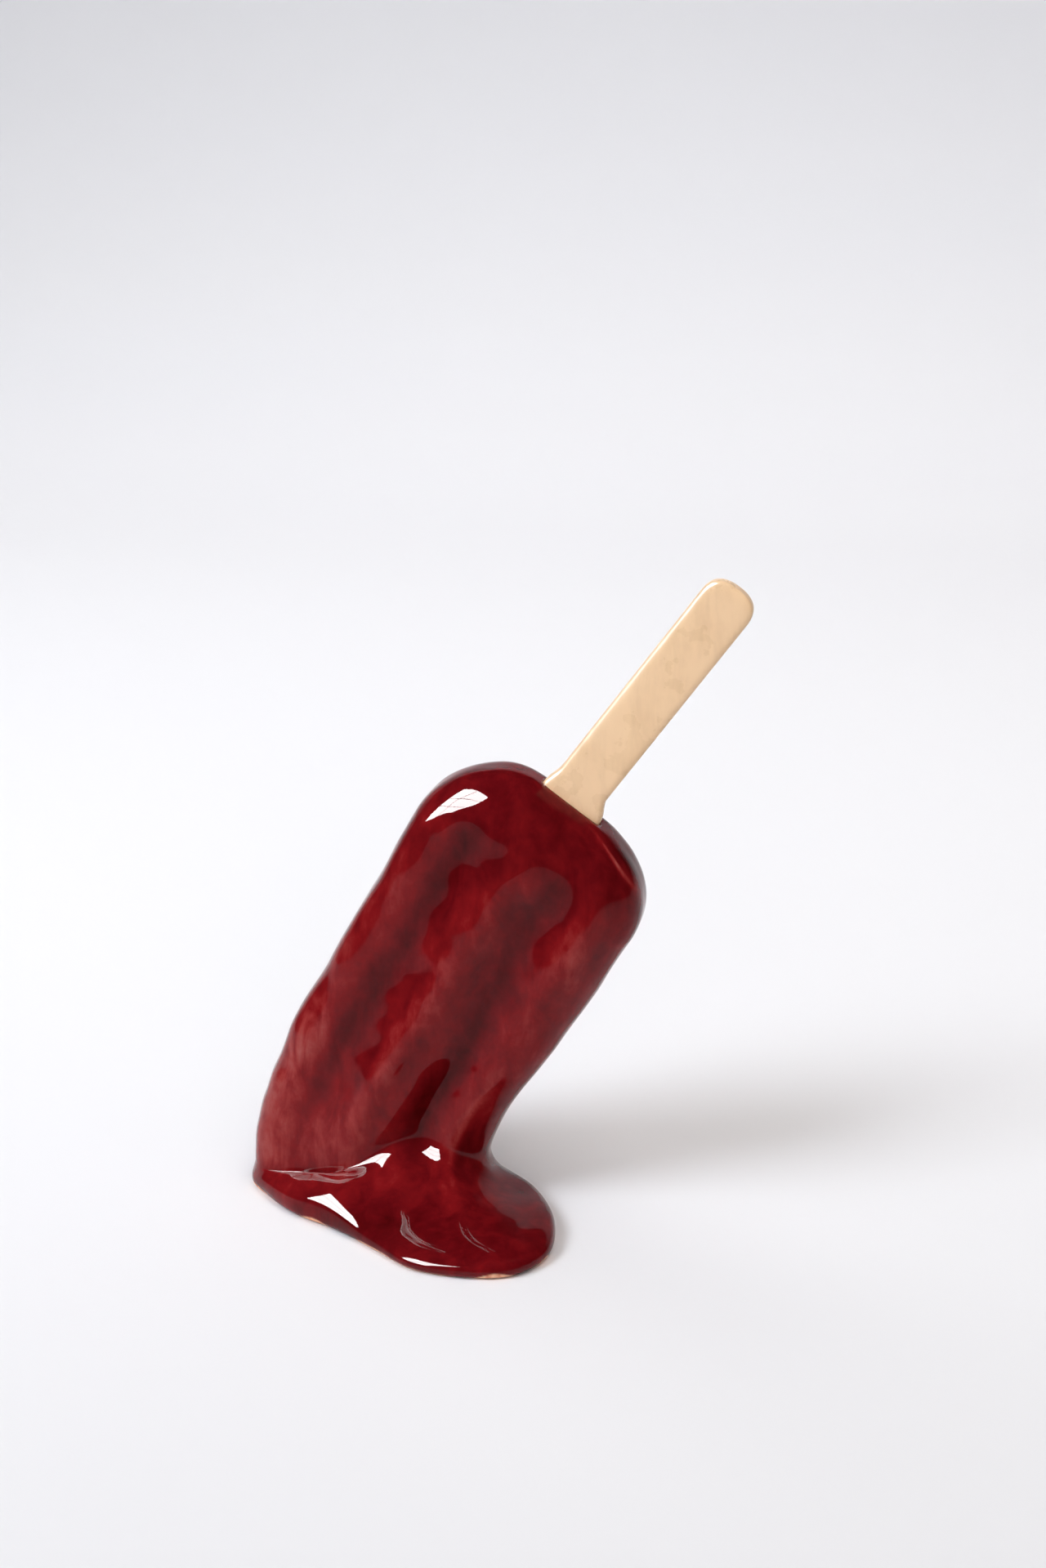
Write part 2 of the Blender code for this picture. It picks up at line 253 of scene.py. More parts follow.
def dome_surface(angles, share, ice, stick):
    """The domed end: sections shrink as the cosine of a quarter turn, down to the stick's root."""
    _, _, _, tilt, half_width = SECTIONS[-1]
    tilt = math.radians(tilt) * (1 - share) + stick.tilt * share
    lip_width = stick.half_width + 1.25 * MM + 0.1 * MM
    lip_depth = stick.thickness / 2 + 0.1 * MM
    lip_middle = stick.shift + 0.45 * MM
    turn = share * math.pi / 2
    square = 3.3 - 0.7 * np.sin(math.pi * share) + (6.0 - 3.3) * share**4
    across, deep = superellipse(angles, square)
    reach = lip_middle * share**2 + across * (lip_width + (half_width - lip_width) * np.cos(turn))
    deep = deep * (lip_depth + (ice.half_depth - lip_depth) * np.clip(np.cos(turn), 0, 1) ** 1.15)
    deep = grooved(across, deep, 1 + 0.3 * share, ice)
    middle = dome_middle(share, ice, stick)
    return np.stack([middle[..., 0] + reach * np.cos(tilt),
                     middle[..., 1] - deep,
                     middle[..., 2] - reach * np.sin(tilt)], axis=-1)


def rim_surface(angles, outline, outward, spread):
    """The rim: its facing turns evenly from the floor to the top, and is summed up along the profile.

    Where the gap to the slab is narrow, the melt's hollow cuts the round short, so it ends steeper.
    """
    gap = np.clip((spread - 1.5 * MM) / HOLLOW, 0, 1 - math.cos(RIM_TOP_STEEPEST))
    top_angle = np.arccos(1 - gap)
    share = np.linspace(0, 1, RIM_ROWS)[:, None]
    facing = -math.pi / 2 + (top_angle + math.pi / 2) * share
    middle = (facing[1:] + facing[:-1]) / 2
    height = np.concatenate([np.zeros((1, len(angles))), np.cumsum(np.cos(middle), axis=0)])
    reach = np.concatenate([np.zeros((1, len(angles))), np.cumsum(-np.sin(middle), axis=0)])
    size = around_curve(RIM_HEIGHT, angles)[:, 0] / height[-1]
    reach = (reach - reach.max(axis=0)) * size
    spots = np.concatenate([outline + outward * reach[..., None], (height * size)[..., None]], axis=2)
    return spots, top_angle


def ice_grid(ice, stick):
    """The whole ice as one grid: floor, rim, melt, slab, dome and the mouth round the stick."""
    angles = np.linspace(0, 2 * math.pi, ice.around, endpoint=False)
    outline = around_curve(PUDDLE, angles)
    foot = slab_surface(angles, np.zeros(ice.around), ice)[:, :2]
    spread = np.linalg.norm(outline - foot, axis=1)
    along = np.roll(outline, -1, axis=0) - np.roll(outline, 1, axis=0)
    outward = np.stack([-along[:, 1], along[:, 0]], axis=1)
    outward /= np.linalg.norm(outward, axis=1)[:, None]
    rim, top_angle = rim_surface(angles, outline, outward, spread)

    melt_start = around_curve(MELT_START, angles)[:, 0]
    neck = slab_surface(angles, melt_start, ice)
    below = slab_surface(angles, melt_start - 0.02, ice)
    down = (below - neck) / np.linalg.norm(below - neck, axis=1)[:, None]
    reach = np.linalg.norm(neck - rim[-1], axis=1)[:, None]
    toward = (neck - rim[-1])[:, :2]
    toward /= np.maximum(np.linalg.norm(toward, axis=1), 1e-9)[:, None]
    tangent = np.column_stack([-outward[:, 1], outward[:, 0]])
    inward_share = np.clip(-(toward * outward).sum(axis=1), 0.3, 1)[:, None]
    side_share = np.clip((toward * tangent).sum(axis=1), -0.9, 0.9)[:, None]
    upward = np.column_stack([-outward * np.sin(top_angle)[:, None], np.cos(top_angle)])
    upward = inward_share * upward + side_share * np.column_stack([tangent, 0 * top_angle]) * np.sin(top_angle)[:, None]
    near_rim = rim[-1] + upward * reach * MELT_PULL
    near_neck = neck + down * reach * NECK_PULL
    skirt = neck + reach * (down * SKIRT_DOWN - np.column_stack([toward, 0 * top_angle]) * SKIRT_OUT)
    share = np.linspace(0, 1, MELT_ROWS + 1)[1:, None, None]
    rest = 1 - share
    melt = (rest**4 * rim[-1] + 4 * rest**3 * share * near_rim + 6 * rest**2 * share**2 * skirt
            + 4 * rest * share**3 * near_neck + share**4 * neck)

    melt[..., 2] += lumps(melt) * ease(rest[..., 0] / 0.4)
    rim[..., 2] += lumps(rim) * ease(np.linspace(-1, 1.4, RIM_ROWS))[:, None]

    share = np.linspace(0, 1, SLAB_ROWS + 1)[1:, None]
    slab_up = melt_start + (1 - melt_start) * share
    slab = slab_surface(angles + 0 * share, slab_up, ice)
    share = np.linspace(0, 1, DOME_ROWS + 1)[1:, None]
    dome = dome_surface(angles + 0 * share, share, ice, stick)
    into = np.array([-math.sin(stick.tilt), 0, -math.cos(stick.tilt)])
    depth = np.linspace(0, 3 * MM, MOUTH_ROWS + 1)[1:, None, None]
    mouth = dome[-1] + into * depth
    grid = np.concatenate([rim, melt, slab, dome, mouth])
    rows = np.arange(len(grid))
    melted = ease((rows - 0.5 * RIM_ROWS) / (0.5 * RIM_ROWS)) * ease((RIM_ROWS + MELT_ROWS + 12 - rows) / 12)
    grid += (smoothed(grid, SOFTENED) - grid) * melted[:, None, None]

    melt_up = melt_start * np.linspace(0, 1, MELT_ROWS + 1)[1:, None]
    flat = np.ones(ice.around)
    climb = np.concatenate([np.linspace(-0.1, 0, RIM_ROWS)[:, None] * flat, melt_up, slab_up,
                            (1 + np.linspace(0, 1, DOME_ROWS + 1)[1:, None]) * flat,
                            np.full((MOUTH_ROWS, ice.around), 2.0)])
    across, deep = superellipse(angles, 3.0)
    return grid, climb, across + 0 * climb, deep + 0 * climb


# Swellings and dents: side (1 front, -1 back, 0 both), place across, place up, half sizes
# across and along, turn in degrees, and height.
SWELLINGS = (
    # the middle ridge, and how it swells
    (1, -0.10, 0.60, 2.8 * MM, 29 * MM, 0, 1.0 * MM),
    (1, -0.16, 0.84, 4.0 * MM, 8 * MM, 0, 0.6 * MM),
    (1, -0.12, 0.40, 2.4 * MM, 12 * MM, 0, 0.8 * MM),
    (1, 0.00, 0.865, 3.0 * MM, 3.0 * MM, 0, 0.3 * MM),
    (1, 0.10, 1.03, 4.5 * MM, 3.2 * MM, 0, 1.0 * MM),
    (1, -0.20, 1.12, 2.6 * MM, 3.0 * MM, 0, -0.4 * MM),
    # the right ridge, and the crease that runs down from it
    (1, 0.61, 0.92, 3.0 * MM, 12 * MM, 0, 1.5 * MM),
    (1, 0.66, 0.30, 2.0 * MM, 10 * MM, 0, 0.5 * MM),
    # the crease over the end's right corner
    (1, 0.76, 1.63, 0.8 * MM, 5.5 * MM, 57, 0.20 * MM),
    # the uneven left edge
    (1, -0.86, 0.88, 4.0 * MM, 4.5 * MM, 0, 0.5 * MM),
    (1, -0.86, 0.63, 4.0 * MM, 5.0 * MM, 0, 0.5 * MM),
    (1, -0.86, 0.40, 3.5 * MM, 3.5 * MM, 0, 0.4 * MM),
    (1, -0.88, 0.275, 2.0 * MM, 2.0 * MM, 0, 0.25 * MM),
)
# Lumps on the melt, from the foot: X, Y, half sizes, turn in degrees, and height.
LUMPS = (
    (-5.0 * MM, -16.0 * MM, 10.0 * MM, 4.5 * MM, -28, 3.6 * MM),
    (14.0 * MM, -16.0 * MM, 16.0 * MM, 7.0 * MM, 0, 1.6 * MM),
)


def bell(right, along, half_across, half_along, turn):
    """A bell over a turned ellipse: e to the less square of each distance over its half size."""
    turn = math.radians(turn)
    first = (right * math.cos(turn) + along * math.sin(turn)) / half_across
    second = (along * math.cos(turn) - right * math.sin(turn)) / half_along
    return np.exp(-first**2 - second**2)


def bells(rows, across, climb, deep):
    """The sum of bells laid on the slab from rows of side, place, half sizes, turn and height."""
    total = np.zeros_like(climb)
    for side, place_across, place_up, half_across, half_along, turn, height in rows:
        right, along = (across - place_across) * 22 * MM, length_up(climb) - length_up(place_up)
        where = 1 if side == 0 else ease(side * deep * 3 + 0.5)
        total += height * bell(right, along, half_across, half_along, turn) * where
    return total


def lumps(spots):
    """Heights of soft bell-shaped lumps on the melt, by their place seen from above."""
    height = np.zeros(spots.shape[:-1])
    for right, back, half_x, half_y, turn, rise in LUMPS:
        height += rise * bell(spots[..., 0] - right, spots[..., 1] - back, half_x, half_y, turn)
    return height


def length_up(climb):
    """Distance up the face: 72 mm of slab, then 18 mm over the dome."""
    return 72 * MM * np.minimum(climb, 1) + 18 * MM * np.maximum(climb - 1, 0)


def grid_normals(grid):
    """Normals of a grid that closes around: the cross of its two steps."""
    around = np.roll(grid, -1, axis=1) - np.roll(grid, 1, axis=1)
    upward = np.gradient(grid, axis=0)
    normals = np.cross(upward, around)
    return normals / np.maximum(np.linalg.norm(normals, axis=2, keepdims=True), 1e-12)


def smoothed(grid, times):
    """The grid with each spot moved to the mean of itself and its neighbours, so many times."""
    for _ in range(times):
        grid = (2 * grid + np.roll(grid, 1, axis=1) + np.roll(grid, -1, axis=1)) / 4
        above = np.concatenate([grid[1:], grid[-1:]])
        below = np.concatenate([grid[:1], grid[:-1]])
        grid = (2 * grid + above + below) / 4
    return grid


# Where the glaze is thinner (more) or thicker (less), and where light or shade is painted: side, place across, place
# up, half sizes across and along, turn in degrees, and by how much.
GLAZE_AND_SHADE_PLACES = (
    # lighter, pinker glaze low on the left: thinner glaze, and partly a painted reflection of the pale floor
    (1, -0.80, 0.18, 8.0 * MM, 16.0 * MM, 0, 0.20),
    (1, -0.30, 0.20, 5.0 * MM, 10.0 * MM, 0, 0.12),
    (1, -0.78, 0.38, 2.5 * MM, 5.0 * MM, 0, 0.16),
    (1, -0.95, 0.62, 3.0 * MM, 14.0 * MM, 0, 0.04),
    # darker glaze on the right groove's left wall and near the right edge: deeper glaze, and partly painted shade
    (1, 0.28, 0.34, 2.2 * MM, 9.0 * MM, 0, -0.16),
    (1, 0.78, 0.28, 1.8 * MM, 7.0 * MM, 0, -0.16),
    (1, 0.30, 1.00, 4.0 * MM, 8.0 * MM, 0, 0.06),
    (1, -0.13, 0.60, 1.6 * MM, 22.0 * MM, 0, 0.05),
    (1, 0.70, 0.34, 0.7 * MM, 12.0 * MM, 0, 0.20),
    (1, 0.60, 0.98, 2.0 * MM, 6.0 * MM, 0, 0.08),
    # the domed end, darkened as painted shade; the crease from the stick over its right corner, lightened as a painted
    # highlight over thinner glaze; and the deep band beyond, darkened as a painted dark reflection
    (0, 0.00, 1.20, 40.0 * MM, 7.0 * MM, 0, -0.07),
    (0, 0.00, 1.70, 40.0 * MM, 8.0 * MM, 0, -0.12),
    (1, 0.76, 1.63, 0.5 * MM, 5.0 * MM, 57, 0.38),
    (1, 1.05, 1.62, 1.4 * MM, 8.0 * MM, 57, -0.22),
)


def glaze_thinness_and_shade(grid, normals, across, climb, deep, ice):
    """How thin the glaze is, with painted light mixed in: more on bulges, less in hollows, less along the grooves for
    pooled glaze and painted shade, and the listed patches of thinner or thicker glaze, painted shade, painted highlight
    and painted reflection.
    """
    bulge = ((grid - smoothed(grid, 24)) * normals).sum(axis=2)
    thin = 0.51 + 0.06 * np.tanh(bulge / (0.12 * MM)) + bells(GLAZE_AND_SHADE_PLACES, across, climb, deep)
    # Darker along each groove: pooled glaze, and partly painted shade.
    runs = ease((climb - 0.12) / 0.2) * ease((1.36 - climb) / 0.3) * ease(np.abs(deep) * 2 - 0.6)
    for place, width in groove_places(deep * ice.half_depth, np.minimum(climb, 1.1), ice):
        thin -= 0.17 * np.exp(-((across - place) / (0.36 * width)) ** 2) * runs
    on_puddle = ease((9 * MM - grid[..., 2]) / (5 * MM)) * ease((0.16 - climb) / 0.1)
    return np.clip(thin - 0.13 * on_puddle, 0, 1)


def bareness(grid, climb):
    """Where the clay shows: a thin line at the very foot of the rim, uneven in height."""
    uneven = 0.75 + 0.35 * ripple(grid * (1, 1, 0), 9 * MM, 8)
    return ease((1.3 * MM * uneven - grid[..., 2]) / (0.5 * MM)) * (climb < 0)


def add_layer(piece, name, values, poles):
    """A number for each point of the mesh, under this name."""
    layer = piece.data.attributes.new(name, "FLOAT", "POINT")
    layer.data.foreach_set("value", np.concatenate([values.ravel(), poles]).astype(np.float32))


def grid_object(name, grid):
    """A closed mesh from a grid that closes around, with a fan of faces at both ends."""
    rows, around, _ = grid.shape
    spots = np.concatenate([grid.reshape(-1, 3), [grid[0].mean(axis=0)], [grid[-1].mean(axis=0)]])
    here = np.arange(around)
    after = (here + 1) % around
    low = (np.arange(rows - 1) * around)[:, None]
    quads = np.stack([low + here, low + around + here, low + around + after, low + after], axis=-1).reshape(-1, 4)
    top = (rows - 1) * around
    bottom_pole = rows * around
    faces = quads.tolist()
    faces += np.stack([here, after, here * 0 + bottom_pole], axis=1).tolist()
    faces += np.stack([top + after, top + here, here * 0 + bottom_pole + 1], axis=1).tolist()
    mesh = bpy.data.meshes.new(name)
    mesh.from_pydata(spots, [], faces)
    mesh.update()
    mesh.shade_smooth()
    piece = bpy.data.objects.new(name, mesh)
    bpy.context.scene.collection.objects.link(piece)
    return piece


class Nodes:
    """A short way to write a material's node tree."""

    def __init__(self, name):
        self.material = bpy.data.materials.new(name)
        self.material.use_nodes = True
        self.tree = self.material.node_tree
        self.shader = self.tree.nodes["Principled BSDF"]

    def add(self, kind, inputs=(), **settings):
        """A node of this kind with settings, and inputs that are values or other sockets."""
        node = self.tree.nodes.new("ShaderNode" + kind)
        for key, value in settings.items():
            setattr(node, key, value)
        for key, value in dict(inputs).items():
            if isinstance(value, bpy.types.NodeSocket):
                self.tree.links.new(value, node.inputs[key])
            else:
                node.inputs[key].default_value = value
        return node

    def link(self, source, key):
        """Feed a socket of the shader."""
        self.tree.links.new(source, self.shader.inputs[key])


def ramp(nodes, source, stops):
    """A colour ramp through these places and colours."""
    node = nodes.add("ValToRGB", {"Fac": source})
    elements = node.color_ramp.elements
    while len(elements) < len(stops):
        elements.new(0.5)
    for element, (place, colour) in zip(elements, stops):
        element.position = place
        element.color = (*colour, 1)
    return node.outputs["Color"]


def red_glaze(ice):
    """A deep red gloss glaze: brighter and warmer where it is thin, nearly black where it has pooled. The same mask
    also carries painted light: shade in the grooves, on the spindles and over the end, a highlight along the end's
    crease, and a reflection of the floor low on the left.
    """
    nodes = Nodes("red_glaze")
    where = nodes.add("TexCoord").outputs["Object"]
    flow = nodes.add("Mapping", {"Vector": where, "Rotation": (0, math.radians(-28), 0), "Scale": (1, 1, 0.38)})
    clouds = nodes.add("TexNoise", {"Vector": flow.outputs["Vector"], "Scale": 230, "Detail": 5, "Roughness": 0.6,
                                    "Distortion": 0.8})
    mottle = nodes.add("TexNoise", {"Vector": where, "Scale": 430, "Detail": 5, "Roughness": 0.65})
    streaked = nodes.add("Mapping", {"Vector": where, "Scale": (1, 1, 0.3)})
    streaks = nodes.add("TexNoise", {"Vector": streaked.outputs["Vector"], "Scale": 330, "Detail": 4,
                                     "Roughness": 0.6, "Distortion": 0.8})
    thin = nodes.add("Attribute", attribute_name="thin_glaze_and_shade").outputs["Fac"]
    streaks = nodes.add("MapRange", {"Value": streaks.outputs["Fac"], "From Min": 0.3, "From Max": 0.7,
                                     "To Min": -0.16, "To Max": 0.16}).outputs["Result"]
    only_thin = nodes.add("MapRange", {"Value": thin, "From Min": 0.50, "From Max": 0.70}).outputs["Result"]
    thin = nodes.add("Math", {0: streaks, 1: only_thin, 2: thin}, operation="MULTIPLY_ADD").outputs[0]
    thin = nodes.add("Math", {0: clouds.outputs["Fac"], 1: 0.48, 2: thin}, operation="MULTIPLY_ADD").outputs[0]
    thin = nodes.add("Math", {0: mottle.outputs["Fac"], 1: 0.24, 2: thin}, operation="MULTIPLY_ADD").outputs[0]
    thin = nodes.add("Math", {0: thin, 1: 0.36}, operation="SUBTRACT", use_clamp=True).outputs[0]
    # Low values take the pooled colours, also where the mask lays painted shade; high values take the thin glaze's
    # colours, also where it lays a painted highlight or a painted reflection.
    red = ramp(nodes, thin, (
        (0.0, (0.022, 0.0003, 0.0006)),
        (0.2, ice.glaze_deep),
        (0.42, ice.glaze_red),
        (0.58, (0.19, 0.006, 0.008)),
        (0.75, (0.27, 0.026, 0.025)),
        (1.0, ice.glaze_thin),
    ))
    bare = nodes.add("Attribute", attribute_name="bare_clay").outputs["Fac"]
    clay = nodes.add("TexNoise", {"Vector": where, "Scale": 900, "Detail": 4})
    clay = ramp(nodes, clay.outputs["Fac"], ((0.3, (0.60, 0.22, 0.13)), (0.7, (0.86, 0.52, 0.34))))
    colour = nodes.add("Mix", {"Factor": bare, "A": red, "B": clay}, data_type="RGBA")
    nodes.link(colour.outputs["Result"], "Base Color")
    gloss = nodes.add("MapRange", {"Value": mottle.outputs["Fac"], "From Min": 0.35, "From Max": 0.75,
                                   "To Min": 0.004, "To Max": 0.015})
    rough = nodes.add("Mix", {"Factor": bare, "A": gloss.outputs["Result"], "B": 0.6})
    nodes.link(rough.outputs["Result"], "Roughness")
    skin = nodes.add("TexNoise", {"Vector": where, "Scale": 750, "Detail": 3, "Roughness": 0.5})
    bump = nodes.add("Bump", {"Height": skin.outputs["Fac"], "Strength": 0.02, "Distance": 0.2 * MM})
    nodes.link(bump.outputs["Normal"], "Normal")
    nodes.shader.inputs["Specular IOR Level"].default_value = 0.16
    return nodes.material


def cream_glaze(stick):
    """A satin cream glaze with faint tan clouds and streaks along the stick, and painted shade that darkens its right
    edge.
    """
    nodes = Nodes("cream_glaze")
    where = nodes.add("TexCoord").outputs["Object"]
    along = nodes.add("Mapping", {"Vector": where, "Rotation": (0, -stick.tilt, 0), "Scale": (1, 1, 0.2)})
    streaks = nodes.add("TexNoise", {"Vector": along.outputs["Vector"], "Scale": 330, "Detail": 5, "Roughness": 0.6,
                                     "Distortion": 0.4})
    clouds = nodes.add("TexNoise", {"Vector": where, "Scale": 140, "Detail": 4, "Roughness": 0.6})
    shade = nodes.add("Math", {0: streaks.outputs["Fac"], 1: 0.5}, operation="MULTIPLY").outputs[0]
    shade = nodes.add("Math", {0: clouds.outputs["Fac"], 1: 0.3, 2: shade}, operation="MULTIPLY_ADD").outputs[0]
    # Painted shade: the stick's right edge, away from the window, is darkened.
    edge = nodes.add("Attribute", attribute_name="painted_shade_edge").outputs["Fac"]
    shade = nodes.add("Math", {0: edge, 1: -0.12, 2: shade}, operation="MULTIPLY_ADD").outputs[0]
    tan, cream = Vector((0.76, 0.50, 0.28)), Vector(stick.glaze)
    colour = ramp(nodes, shade, ((0.16, tan * 0.92), (0.30, tan.lerp(cream, 0.5)), (0.42, cream), (0.58, cream * 1.03)))
    nodes.link(colour, "Base Color")
    gloss = nodes.add("MapRange", {"Value": clouds.outputs["Fac"], "From Min": 0.3, "From Max": 0.7,
                                   "To Min": 0.22, "To Max": 0.38})
    nodes.link(gloss.outputs["Result"], "Roughness")
    bump = nodes.add("Bump", {"Height": streaks.outputs["Fac"], "Strength": 0.06, "Distance": 0.15 * MM})
    nodes.link(bump.outputs["Normal"], "Normal")
    return nodes.material


class ICEPOP_OT_ice(bpy.types.Operator):
    """Lay the glazed surface over the slab and its puddle"""
    bl_idname = "icepop.ice"
    bl_label = "Glazed ice"

    def execute(self, context):
        ice = context.scene.icepop_ice
        stick = context.scene.icepop_stick
        grid, climb, across, deep = ice_grid(ice, stick)
        low, high = grid.min(axis=(0, 1)), grid.max(axis=(0, 1))
        place = (np.array(ICE_BOX[0]) + np.array(ICE_BOX[1]) - low - high) / 2
        place[2] = 0
        context.scene["icepop_place"] = place.tolist()
        normals = grid_normals(grid)
        lift = ice.wobble * ripple(grid, 16 * MM, 3) + ice.wobble * 0.2 * ripple(grid, 6 * MM, 4)
        lift += bells(SWELLINGS, across, climb, deep)
        off_floor = ease((grid[..., 2] - 1.5 * MM) / (7 * MM))
        in_mouth = ease((2 - climb) / 0.1)
        grid = grid + normals * (lift * off_floor * in_mouth)[..., None]
        thin = glaze_thinness_and_shade(grid, grid_normals(grid), across, climb, deep, ice)
        piece = grid_object("glazed_ice", grid + place)
        # The mask of glaze thickness, which also carries painted shade, a painted highlight and a painted reflection.
        add_layer(piece, "thin_glaze_and_shade", thin, (0.3, 0.3))
        add_layer(piece, "bare_clay", bareness(grid, climb), (1, 0))
        piece.data.materials.append(red_glaze(ice))
        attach(piece, "root")
        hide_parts("ice_body")
        return {"FINISHED"}


def stick_grid(ice, stick):
    """The stick: rounded bars across, carried along its length, flared at the root, round at the tip."""
    tip = 4.6 * MM
    straight = np.linspace(-6 * MM, stick.length - tip, 150)
    round_end = stick.length - tip + tip * np.sin(np.linspace(0, math.pi / 2, 40)[1:])
    along = np.concatenate([straight, round_end])[:, None]
    beyond = np.clip((along - stick.length + tip) / tip, 0, 1)
    width_share = (1 - beyond**2.6) ** (1 / 2.6)
    flare = 1 - ease(along / (4.5 * MM))
    angles = np.linspace(0, 2 * math.pi, 96, endpoint=False)
    across, deep = superellipse(angles, 5.0)
    half = stick.half_width + np.where(across < 0, 0.8 * MM, 1.7 * MM) * flare
    wide = across * (half * width_share)
    thin = 1 - 0.35 * beyond**6
    thick = deep * stick.thickness / 2 * np.minimum(thin, np.maximum(width_share * 4, 0.02))
    base = dome_middle(np.array(1.0), ice, stick)
    out = np.array([math.sin(stick.tilt), 0, math.cos(stick.tilt)])
    side = np.array([math.cos(stick.tilt), 0, -math.sin(stick.tilt)])
    front = np.array([0, -1, 0])
    return (base + side * stick.shift + along[..., None] * out + wide[..., None] * side + thick[..., None] * front)


class ICEPOP_OT_stick(bpy.types.Operator):
    """Set the glazed stick in the dome"""
    bl_idname = "icepop.stick"
    bl_label = "Glazed stick"

    def execute(self, context):
        ice = context.scene.icepop_ice
        stick = context.scene.icepop_stick
        grid = stick_grid(ice, stick) + np.array(context.scene["icepop_place"])
        piece = grid_object("glazed_stick", grid)
        angles = np.linspace(0, 2 * math.pi, grid.shape[1], endpoint=False)
        # Painted shade: a band along the stick's right edge that darkens its glaze.
        add_layer(piece, "painted_shade_edge", ease(np.cos(angles) * 2.4 - 1.4) + 0 * grid[..., 0], (0, 0))
        piece.data.materials.append(cream_glaze(stick))
        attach(piece, "root")
        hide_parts("stick")
        return {"FINISHED"}


# Soft lights: name, place, the point it faces, width and height, spread in degrees, power, warmth.
LIGHTS = (
    ("soft_window", (-0.815, -0.590, 0.970), (0, 0, 0.04), (0.5, 0.5), 180, 4.40, -0.06),
    ("soft_beam", (-0.815, -0.590, 0.970), (-0.1, 0.35, 0), (0.7, 0.7), 60, 1.45, -0.06),
    ("overhead", (0, 0.5, 1.5), (0, 0.5, 0), (1.4, 1.4), 90, 1.78, 0.04),
    ("front_fill", (0.5, -0.2, 1.3), (0.1, 0.25, 0), (1.0, 1.0), 70, 1.76, 0.05),
    ("low_fill", (0.3, -1.3, 0.5), (0, 0, 0.06), (1.0, 0.5), 100, 1.45, 0.05),
    ("back_wash", (-1.0, 0.9, 1.0), (0, 0.4, 0), (1.0, 1.0), 180, 4.65, 0.0),
    ("left_wash", (-1.35, 0.0, 1.0), (-1.35, 0.05, 0), (0.5, 0.5), 60, 1.4, 0.0),
)


def window_panes(stage):
    """Panes of the window that the glaze mirrors: two columns and three rows with glazing bars between."""
    middle = Vector((-0.58, -0.42, 0.69)).normalized() * 1.4
    back = -middle.normalized()
    right = back.cross(Vector((0, 0, 1))).normalized()
    up = right.cross(back)
    width, height, bar = 0.42, 0.31, 0.016
    for column in (-0.5, 0.5):
        for row in (-1, 0, 1):
            place = middle + right * column * (width + bar) + up * row * (height + bar)
            yield f"pane_{column}_{row}", place, place + back, (width, height), stage.window_power


def area_light(name, place, aim, size, power, spread, warmth=0.0, mirrored=False):
    """A rectangular light at a place, facing a point. A mirrored one is only seen in gloss."""
    lamp = bpy.data.lights.new(name, "AREA")
    lamp.shape = "RECTANGLE"
    lamp.size, lamp.size_y = size
    lamp.energy = power
    lamp.color = (1 + warmth, 1, 1 - warmth)
    lamp.spread = math.radians(spread)
    light = bpy.data.objects.new(name, lamp)
    bpy.context.scene.collection.objects.link(light)
    light.location = place
    light.rotation_euler = (Vector(aim) - Vector(place)).to_track_quat("-Z", "Y").to_euler()
    light.visible_glossy = mirrored
    light.visible_diffuse = not mirrored
    light.visible_camera = False
    return light


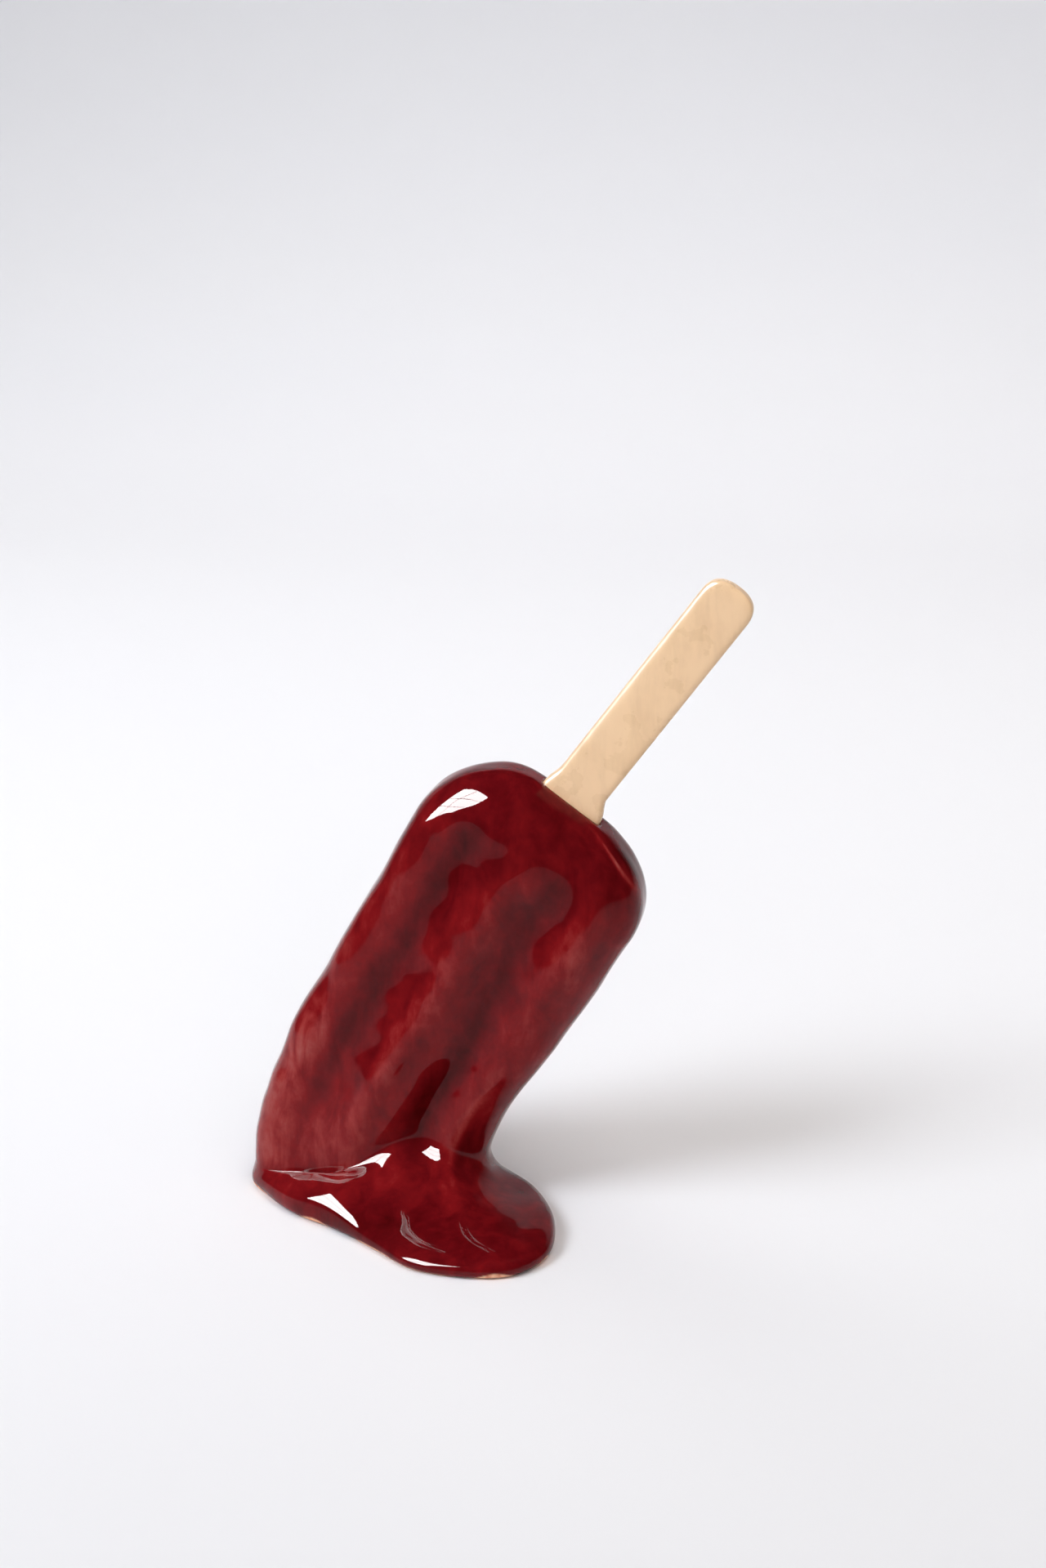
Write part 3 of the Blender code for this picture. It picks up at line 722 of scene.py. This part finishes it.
class ICEPOP_OT_stage(bpy.types.Operator):
    """Lay the sweep, hang the lights and place the camera"""
    bl_idname = "icepop.stage"
    bl_label = "Stage"

    def execute(self, context):
        stage = context.scene.icepop_stage
        scene = context.scene
        # sweep: floor from the front edge, a quarter circle, then a wall
        front, back, bend, top = -0.55, 0.55, 0.35, 0.60
        left, right = -1.5, 1.0
        turn = np.linspace(0, math.pi / 2, 24)
        profile = [(front, 0.0), (back, 0.0)]
        profile += [(back + bend * math.sin(t), bend - bend * math.cos(t)) for t in turn[1:]]
        profile += [(back + bend, top)]
        rows = np.array([[(x, y, z) for x in (left, right)] for y, z in profile])
        count = len(profile)
        faces = [(2 * i, 2 * i + 1, 2 * i + 3, 2 * i + 2) for i in range(count - 1)]
        mesh = bpy.data.meshes.new("sweep")
        mesh.from_pydata(rows.reshape(-1, 3), [], faces)
        mesh.shade_smooth()
        sweep = bpy.data.objects.new("sweep", mesh)
        scene.collection.objects.link(sweep)
        paper = Nodes("paper")
        paper.shader.inputs["Base Color"].default_value = (*stage.paper, 1)
        paper.shader.inputs["Roughness"].default_value = 1.0
        paper.shader.inputs["Specular IOR Level"].default_value = 0.0
        mesh.materials.append(paper.material)

        for name, place, aim, size, spread, power, warmth in LIGHTS:
            area_light(name, place, aim, size, power, spread, warmth)
        for name, place, aim, size, power in window_panes(stage):
            area_light(name, place, aim, size, power, 180, mirrored=True)

        world = bpy.data.worlds.new("room")
        scene.world = world
        world.use_nodes = True
        world.node_tree.nodes["Background"].inputs["Color"].default_value = (0.02, 0.02, 0.02, 1)
        scene.view_settings.view_transform = "Standard"

        azimuth, elevation, distance = math.radians(10), math.radians(18), 0.4562
        aim = Vector((0.00725, 0.0, 0.08393))
        back_way = Vector((math.sin(azimuth) * math.cos(elevation), -math.cos(azimuth) * math.cos(elevation),
                           math.sin(elevation)))
        cam = bpy.data.cameras.new("camera")
        cam.lens = stage.lens
        camera = bpy.data.objects.new("camera", cam)
        scene.collection.objects.link(camera)
        camera.location = aim + back_way * distance
        camera.rotation_euler = (-back_way).to_track_quat("-Z", "Y").to_euler()
        scene.camera = camera
        return {"FINISHED"}


class ICEPOP_PT_panel(bpy.types.Panel):
    """Sizes, colours and steps of the ice pop"""
    bl_label = "Ice pop"
    bl_idname = "ICEPOP_PT_panel"
    bl_space_type = "VIEW_3D"
    bl_region_type = "UI"
    bl_category = "Ice pop"

    def draw(self, context):
        for step, group in (("icepop.ice", context.scene.icepop_ice),
                            ("icepop.stick", context.scene.icepop_stick),
                            ("icepop.stage", context.scene.icepop_stage)):
            box = self.layout.box()
            box.operator(step)
            for name in group.__annotations__:
                box.prop(group, name)


GROUPS = (("icepop_ice", ICEPOP_PG_ice), ("icepop_stick", ICEPOP_PG_stick), ("icepop_stage", ICEPOP_PG_stage))
CLASSES = (ICEPOP_OT_ice, ICEPOP_OT_stick, ICEPOP_OT_stage, ICEPOP_PT_panel)


def register():
    for name, group in GROUPS:
        bpy.utils.register_class(group)
        setattr(bpy.types.Scene, name, PointerProperty(type=group))
    for cls in CLASSES:
        bpy.utils.register_class(cls)


def unregister():
    for cls in reversed(CLASSES):
        bpy.utils.unregister_class(cls)
    for name, group in reversed(GROUPS):
        delattr(bpy.types.Scene, name)
        bpy.utils.unregister_class(group)


def main():
    register()
    bpy.ops.icepop.ice()
    bpy.ops.icepop.stick()
    bpy.ops.icepop.stage()


if __name__ == "__main__":
    main()
